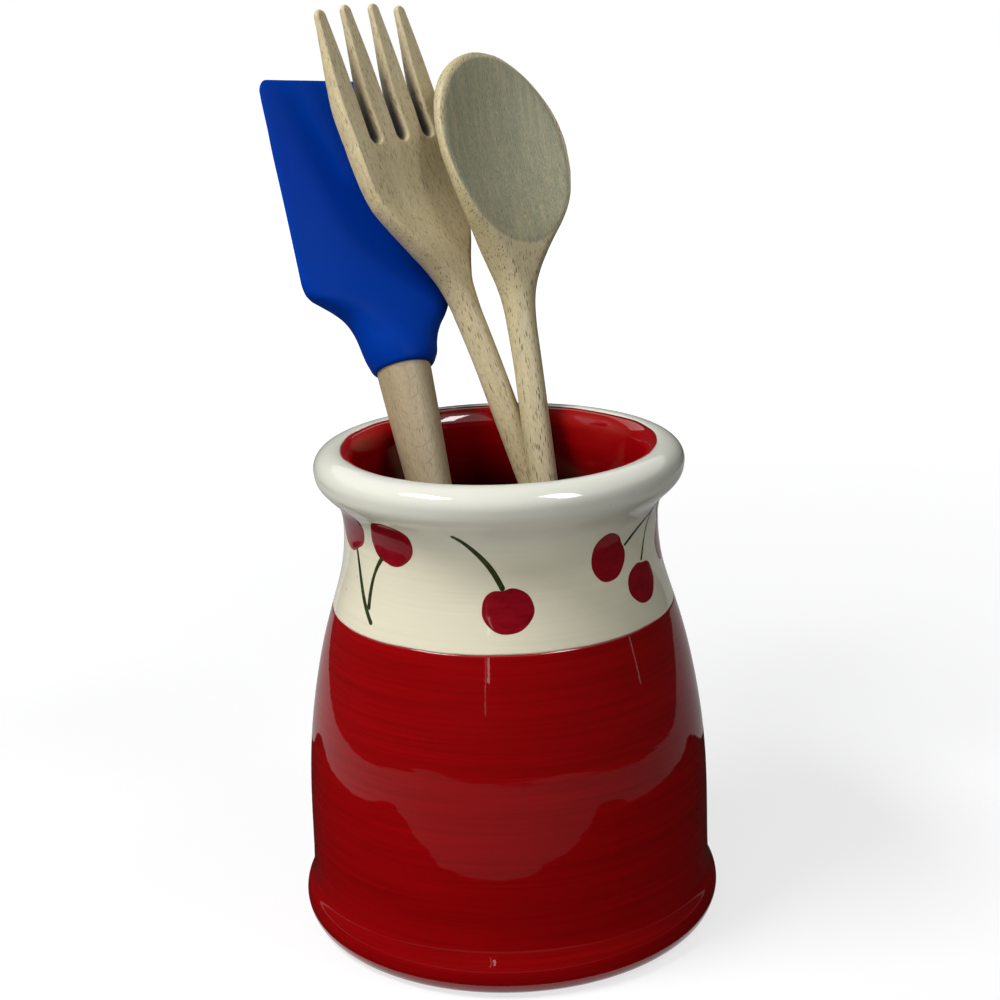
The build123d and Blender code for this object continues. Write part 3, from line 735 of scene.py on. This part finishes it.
def tineEdge(number, side):
    # One side of a tine from its tip down to the slots: a quarter circle and the table's half width as outline
    # points, and the centre line at the same heights
    capRadius = tableCurve(fork["tine"], 1, fork["tops"][number] - fork["capDrop"])
    capCentre = fork["tops"][number] - capRadius
    cap = arcPoints((0, capCentre), (capRadius, capRadius), 90, 0, 11)
    down = np.linspace(capCentre, fork["slotCentre"], fork["tineSteps"])[1:]
    reach = np.concatenate([cap[:, 0], tableCurve(fork["tine"], 1, down)])
    heights = np.concatenate([cap[:, 1], down])
    middle = tineMiddle(number, heights)
    return np.stack([middle + side * reach, heights], -1), np.stack([middle, heights], -1)


def ribbon(outline, inner):
    # Points from an outline across to an inner path, close together where the edge is rounded
    edge = tableCurve(fork["rows"], 2, outline[:, 1])
    length = np.linalg.norm(inner - outline, axis=1)
    reach = np.minimum(edge / np.maximum(length, 1e-9), 0.9)[:, None]
    bend = 1 - np.cos(np.linspace(0, np.pi / 2, 8))[None, :]
    share = np.concatenate([reach * bend, reach + (1 - reach) * np.linspace(0, 1, 6)[None, 1:]], axis=1)
    return outline[:, None] + (inner - outline)[:, None] * share[..., None]


def lineDistance(points, lines):
    # Shortest distance from each point to a set of polylines in the plane
    found = np.full(points.shape[:-1], np.inf)
    for line in lines:
        start, step = line[:-1], np.diff(line, axis=0)
        away = points[..., None, :] - start
        along = np.clip((away * step).sum(-1) / np.maximum((step**2).sum(-1), 1e-12), 0, 1)
        found = np.minimum(found, np.linalg.norm(away - along[..., None] * step, axis=-1).min(-1))
    return found


# Directions of the half turn below a slot, and the same half turn on a square half a pitch away: its first
# corner is point 8, its second point 24
slotTurn = arcPoints((0, 0), (1, 1), 180, 360, 33)
slotSquare = fork["pitch"] / 2 * slotTurn / np.abs(slotTurn).max(1, keepdims=True)


def tinePlans():
    # The tines' plan in ribbons: round each slot, from its outline to the tines' centre lines and the square
    # below it, and down both outer tines, from the side to the centre line; with them their outlines
    borders = []
    for slot in range(3):
        centre = np.array([(slot - 1) * fork["pitch"], fork["slotCentre"]])
        leftEdge, leftLine = tineEdge(slot, 1)
        rightEdge, rightLine = tineEdge(slot + 1, -1)
        slotEdge, slotBorder = centre + fork["slotRadius"] * slotTurn[1:-1], centre + slotSquare[1:-1]
        borders.append((np.concatenate([leftEdge, slotEdge, rightEdge[::-1]]),
                        np.concatenate([leftLine, slotBorder, rightLine[::-1]])))
    low = fork["slotCentre"] + slotSquare[1:9, 1]
    for number, side in ((0, -1), (3, 1)):
        edge, line = tineEdge(number, side)
        outer = np.stack([side * tableCurve(fork["rows"], 1, low), low], -1)
        below = np.stack([tineMiddle(number, low), low], -1)
        borders.append((np.concatenate([edge, outer]), np.concatenate([line, below])))
    return [ribbon(*border) for border in borders], [outline for outline, inner in borders]


def shaftPlan(leftSide, rightSide):
    # The plan of palm and shaft: its top row has the ribbons' own points, and down the palm its points change
    # over to even angles round the shaft
    flat = slotSquare[8:25, 0] + (np.arange(3) - 1)[:, None] * fork["pitch"]
    top = np.concatenate([leftSide[-1, :, 0], *flat[:, 1:], rightSide[-1, ::-1, 0][1:]])
    heights = heightRows((0, fork["shaftStop"], fork["slotCentre"] - fork["pitch"] / 2), fork["shaftSteps"])
    plate = np.clip((heights - fork["plateFrom"]) / fork["plateRise"], 0, 1)
    plate = plate**2 * (3 - 2 * plate)
    even = -np.cos(np.linspace(0, np.pi, len(top)))
    across = tableCurve(fork["rows"], 1, heights) * (top / top[-1] * plate + even * (1 - plate))
    across = across + tableCurve(fork["shift"], 1, heights)
    return np.stack([across, heights + 0 * across], -1)


def frontAndBack(plan, outlines):
    # A plan becomes two sheets, half a thickness before and behind the section's middle; the thickness falls to
    # the outline in a quarter circle, and a bell curve dishes the front of the palm
    edge, thick, middle = tableCurves(fork["rows"], plan[..., 1])[1:]
    rounded = np.sqrt(1 - (1 - np.clip(lineDistance(plan, outlines) / edge, 0, 1))**2)
    bell = np.exp(-((plan[..., 1] - fork["dishHeight"]) / fork["dishLength"])**2)
    dished = fork["dish"] * bell * np.clip(1 - (plan[..., 0] / fork["dishHalfWidth"])**2, 0, 1)
    throughs = middle + (dished - thick) * rounded, middle + thick * rounded
    return [np.stack([plan[..., 0], through, plan[..., 1]], -1) for through in throughs]


def forkPatches():
    # Front and back sheets of all ribbons, the palm and the shaft, which gets a round end
    plans, outlines = tinePlans()
    shaft = shaftPlan(*plans[-2:])
    outlines += [shaft[:, 0], shaft[:, -1]]
    patches = [sheet for plan in [*plans, shaft] for sheet in frontAndBack(plan, outlines)]
    return patches[:-2] + [roundEnd(sheet, fork["round"], 12) for sheet in patches[-2:]]


seat(patchObject("woodenFork", forkPatches(), forkPlace), "fork", "beech_carved",
     beech("forkBeech", forkPlace, fork["wood"]), "wooden_fork")
print("fork carved")

# Wooden spoon: height, half width, half depth, middle and power of the section; then the depth of its face
spoon = {
    "foot": (31.027, -41.026, 13.7), "turn": 37.0, "round": 5.4,
    "rows": [
        (0, 5.4, 5.4, 0, 2.0), (200, 5.45, 5.4, 0.3, 2.0), (212, 5.6, 5.5, 0.6, 2.0), (218.7, 5.8, 5.6, 0.85, 2.0),
        (224.4, 6.1, 5.9, 0.9, 2.0), (230.0, 6.9, 6.4, 0.95, 2.0), (235.8, 8.5, 7.3, 0.8, 2.0),
        (241.7, 11.2, 8.2, 0.5, 2.0), (247.6, 14.4, 8.8, -0.2, 2.05), (254.0, 18.1, 9.2, -1.5, 2.1),
        (260.0, 21.7, 9.5, -3.1, 2.15), (266.4, 25.1, 9.7, -4.1, 2.2), (272.5, 27.6, 9.8, -4.4, 2.25),
        (278.5, 29.2, 9.8, -4.0, 2.25), (284.0, 30.3, 9.8, -3.5, 2.25), (294.0, 30.7, 9.6, -2.2, 2.25),
        (302.0, 29.5, 9.3, -1.1, 2.25), (308.0, 27.6, 9.0, 0.0, 2.25), (313.0, 25.2, 8.5, 0.9, 2.2),
        (318.0, 21.8, 7.8, 1.6, 2.2), (321.5, 18.6, 7.0, 1.8, 2.15), (324.5, 14.9, 6.1, 1.9, 2.1),
        (326.8, 11.0, 5.0, 1.9, 2.1), (328.4, 6.8, 3.6, 1.8, 2.0), (329.4, 0.05, 0.05, 1.8, 2.0),
    ],
    "shift": [(294, 0), (308, -0.2), (318, -0.8), (324, -1.4), (329.4, -2.0)],
    "face": [(220, -4.7), (230, -5.2), (236, -5.7), (242, -6.1), (248, -6.5), (254, -6.9), (262, -7.0),
             (284, -4.9), (301, -3.2), (318, -1.5), (330, -0.3)],
    "faceFrom": 228, "faceRise": 8, "faceEdge": 0.35,
    "hollow": 4.2, "hollowCentre": 288.6, "hollowLength": 38.2, "hollowWidth": 27.9, "hollowPower": 1.15,
    "stops": (0, 200, 260, 318), "steps": (60, 80, 90), "top": (329.4, 46), "around": 200,
    "wood": {"light": (201, 189, 150), "dark": (176, 162, 122), "pore": (76, 56, 34), "flecks": 0.9, "seed": 7.7,
             "pith": (0.02, 0.06, 0.0), "tilt": (-1, 1, 0), "pitch": 0.0024, "sway": 1.5, "late": 0.6, "rings": 0.08,
             # painted shade on the bowl's face: centre and reach of its oval, and its tone
             "paintedFaceShade": {"centre": (0, -0.006, 0.2886), "reach": (0.0292, 0.060, 0.0388), "tone": (118, 121, 95)}},
}
spoonPlace = standing(spoon["foot"], liftAxes["spoon_lift"], spoon["turn"])


def spoonGrid():
    # Ovals up the handle swell into the bowl; a sloping plane with a soft edge cuts the front, and a hollow sinks
    # into it by what is left of one, less the squares of the shares of its width and length
    heights = heightRows(spoon["stops"], spoon["steps"], spoon["top"])
    width, depth, middle, power = tableCurves(spoon["rows"], heights)
    cosine, sine = ovalShares(spoon["around"], power)
    across, through = width * cosine, middle + depth * sine
    face = tableCurve(spoon["face"], 1, heights)
    cut = face + spoon["faceEdge"] * np.logaddexp(0, (through - face) / spoon["faceEdge"])
    carved = np.clip((heights - spoon["faceFrom"]) / spoon["faceRise"], 0, 1)
    through = through * (1 - carved) + cut * carved
    rise = (heights - spoon["hollowCentre"]) / spoon["hollowLength"]
    inside = np.clip(1 - (across / spoon["hollowWidth"])**2 - rise**2, 0, 1)
    through = through + spoon["hollow"] * inside**spoon["hollowPower"] * (sine < 0)
    across = across + tableCurve(spoon["shift"], 1, heights)
    return roundEnd(np.stack([across, through, heights + 0 * across], -1), spoon["round"], 12)


seat(gridObject("woodenSpoon", spoonGrid(), place=spoonPlace), "spoon", "beech_carved",
     beech("spoonBeech", spoonPlace, spoon["wood"]), "wooden_spoon")
print("spoon carved")

# Floor, light and camera: metres, degrees and watts, bearings from the viewer's side
studio = {
    "floorSize": 6.0, "floorTone": 0.34, "floorGlow": 0.70, "floorFade": (0.3, 1.3),
    "skyTone": 0.14, "skyColor": (0.92, 0.97, 1.0, 1),
    "lamps": [
        {"name": "windowPanel", "bearing": -66, "rise": 55, "far": 1.4, "size": (0.60, 0.34), "power": 17.3},
        {"name": "sidePanel", "bearing": 47.5, "rise": 48, "far": 1.5, "size": (0.34, 0.75), "power": 17,
         "off": "diffuse"},
        {"name": "frontFill", "bearing": -26, "rise": 8, "far": 1.6, "size": (1.2, 0.9), "power": 8.5,
         "off": "glossy"},
        {"name": "rightSky", "bearing": 62, "rise": 58, "far": 1.4, "size": (0.30, 0.30), "power": 3.3,
         "off": "glossy"},
    ],
    "aim": (0, 0, 0.2),
    "mat": [(-180, 0.15), (-136, 0.209), (-129, 0.254), (-122, 0.268), (-104, 0.243), (-92, 0.241), (-77, 0.248),
            (-62, 0.283), (-54, 0.260), (-46, 0.218), (-38, 0.193), (-30, 0.171), (-15, 0.163), (6, 0.164),
            (15, 0.180), (23, 0.189), (31, 0.211), (37, 0.236), (44, 0.286), (49, 0.296), (62, 0.267), (77, 0.259),
            (104, 0.260), (112, 0.279), (121, 0.251), (131, 0.207), (180, 0.15)],
    "curtain": [(-180, 0.90), (-150, 0.70), (-138, 0.544), (-122, 0.450), (-110, 0.406), (-94, 0.393),
                (-78, 0.405), (-56, 0.499), (-41, 0.620), (-32, 0.566), (-17, 0.542), (5, 0.563), (27, 0.586),
                (50, 0.498), (66, 0.423), (83, 0.402), (98, 0.384), (107, 0.424), (119, 0.576), (130, 0.80),
                (180, 0.90)],
    "ground": [(-180, 0.42), (-100, 0.42), (-62, 0.30), (-30, 0.20), (60, 0.17), (110, 0.25), (180, 0.42)],
    "matTone": 0.012, "matStart": 0.079, "matHeight": 0.0008, "curtainTone": 0.03, "curtainRise": (0.13, 0.49),
    "strips": [{"bearing": -11.8, "far": 0.5, "width": 0.004, "low": 0.125, "high": 0.230, "tone": 1.4},
               {"bearing": -10.0, "far": 0.5, "width": 0.012, "low": 0.185, "high": 0.230, "tone": 3.4},
               {"bearing": 80, "far": 0.36, "width": 0.005, "low": 0.088, "high": 0.150, "tone": 1.0}],
    "camera": {"distance": 0.64119, "height": 0.3423, "down": 16.188, "roll": -1.832, "lens": 66.998},
}


def whiteBackdrop(tree, shown, plain):
    # Camera, glossy and transmitted rays see the white, all other rays the plain tone
    path = tree.add("ShaderNodeLightPath").outputs
    seen = path["Is Camera Ray"]
    for ray in "Is Glossy Ray", "Is Transmission Ray":
        seen = tree.add("ShaderNodeMath", {0: seen, 1: path[ray]}, operation="MAXIMUM").outputs[0]
    return tree.add("ShaderNodeMixShader", {0: seen, 1: plain, 2: shown}).outputs[0]


def makeWorld():
    world = bpy.data.worlds.new("whiteRoom")
    bpy.context.scene.world = world
    tree = NodeTree(world)
    white = tree.add("ShaderNodeBackground", {"Color": (1, 1, 1, 1)})
    soft = tree.add("ShaderNodeBackground", {"Color": studio["skyColor"], "Strength": studio["skyTone"]})
    tree.add("ShaderNodeOutputWorld", {"Surface": whiteBackdrop(tree, white.outputs[0], soft.outputs[0])})


def makeFloor():
    # A pale floor that keeps the shadow; for the rays that see the white it glows as well, more so farther out
    size = studio["floorSize"]
    mesh = bpy.data.meshes.new("floor")
    mesh.from_pydata([(-size, -size, 0), (size, -size, 0), (size, size, 0), (-size, size, 0)], [], [(0, 1, 2, 3)])
    material = bpy.data.materials.new("paleFloor")
    tree = NodeTree(material)
    plain = tree.add("ShaderNodeBsdfDiffuse", {"Color": (*[studio["floorTone"]] * 3, 1)})
    place = tree.add("ShaderNodeTexCoord").outputs["Object"]
    away = tree.add("ShaderNodeVectorMath", {0: place}, operation="LENGTH")
    near, far = studio["floorFade"]
    glow = tree.add("ShaderNodeMapRange", {"Value": away.outputs["Value"], "From Min": near, "From Max": far,
                                           "To Min": studio["floorGlow"]})
    light = tree.add("ShaderNodeEmission", {"Strength": glow.outputs["Result"]})
    both = tree.add("ShaderNodeAddShader", {0: plain.outputs[0], 1: light.outputs[0]})
    tree.add("ShaderNodeOutputMaterial", {"Surface": whiteBackdrop(tree, both.outputs[0], plain.outputs[0])})
    mesh.materials.append(material)
    floor = inScene("floor", mesh)


def makeCard(name, grid, tone):
    # A studio card that only reflections show; its tone is kept on its points
    rows, columns = grid.shape[:2]
    mesh = sheetMesh(name, grid.reshape(-1, 3), quadCorners(rows, columns))
    tones = mesh.attributes.new("tone", "FLOAT", "POINT")
    tones.data.foreach_set("value", np.broadcast_to(tone, (rows, columns)).astype(np.float32).ravel())
    material = bpy.data.materials.new(name)
    tree = NodeTree(material)
    stored = tree.add("ShaderNodeAttribute", attribute_name="tone")
    glow = tree.add("ShaderNodeEmission", {"Strength": stored.outputs["Fac"]})
    tree.add("ShaderNodeOutputMaterial", {"Surface": glow.outputs[0]})
    mesh.materials.append(material)
    card = inScene(name, mesh)
    for ray in ("camera", "diffuse", "transmission", "shadow", "volume_scatter"):
        setattr(card, "visible_" + ray, False)


def makeCards():
    # A dark mat round the foot, grey ground beyond it, a low dark curtain round that and thin bright strips
    bearing = np.linspace(-180, 180, 361)
    direction = np.stack([np.sin(np.radians(bearing)), -np.cos(np.radians(bearing)), 0 * bearing], -1)
    outline = direction * tableCurve(studio["mat"], 1, bearing)[:, None]
    reach = tableCurve(studio["curtain"], 1, bearing)
    far = direction * reach[:, None]
    mat = np.stack([direction * studio["matStart"], outline])
    ground = np.stack([outline, far])
    curtain = np.stack([far, far])
    mat[..., 2] = ground[..., 2] = studio["matHeight"]
    curtain[1, :, 2] = studio["curtainRise"][0] + studio["curtainRise"][1] * reach
    makeCard("darkMat", mat, studio["matTone"])
    makeCard("greyGround", ground, tableCurve(studio["ground"], 1, bearing))
    makeCard("darkCurtain", curtain, studio["curtainTone"])
    for number, strip in enumerate(studio["strips"]):
        side = np.radians(strip["bearing"]) + np.array([-1, 1]) * strip["width"] / 2 / strip["far"]
        upright = np.stack([np.stack([np.sin(side), -np.cos(side), 0 * side], -1) * strip["far"]] * 2)
        upright[..., 2] = np.array([strip["low"], strip["high"]])[:, None]
        makeCard(f"windowStrip{number}", upright, strip["tone"])


def makeLamps():
    for lamp in studio["lamps"]:
        light = bpy.data.lights.new(lamp["name"], "AREA")
        light.shape = "RECTANGLE"
        light.size, light.size_y = lamp["size"]
        light.energy = lamp["power"]
        holder = inScene(lamp["name"], light)
        if "off" in lamp:
            setattr(holder, "visible_" + lamp["off"], False)
        bearing, rise = np.radians(lamp["bearing"]), np.radians(lamp["rise"])
        away = Vector((np.sin(bearing) * np.cos(rise), -np.cos(bearing) * np.cos(rise), np.sin(rise)))
        turned = away.to_track_quat("Z", "Y").to_matrix().to_4x4()
        holder.matrix_world = Matrix.Translation(Vector(studio["aim"]) + away * lamp["far"]) @ turned


def makeCamera():
    view = studio["camera"]
    camera = bpy.data.cameras.new("photoCamera")
    camera.lens = view["lens"]
    camera.sensor_width = 36
    holder = inScene("photoCamera", camera)
    tilt = Matrix.Rotation(np.radians(90 - view["down"]), 4, "X") @ Matrix.Rotation(np.radians(view["roll"]), 4, "Z")
    holder.matrix_world = Matrix.Translation((0, -view["distance"], view["height"])) @ tilt
    bpy.context.scene.camera = holder


makeWorld()
makeFloor()
makeLamps()
makeCards()
makeCamera()
bpy.context.scene.view_settings.view_transform = "Standard"
print("studio ready")
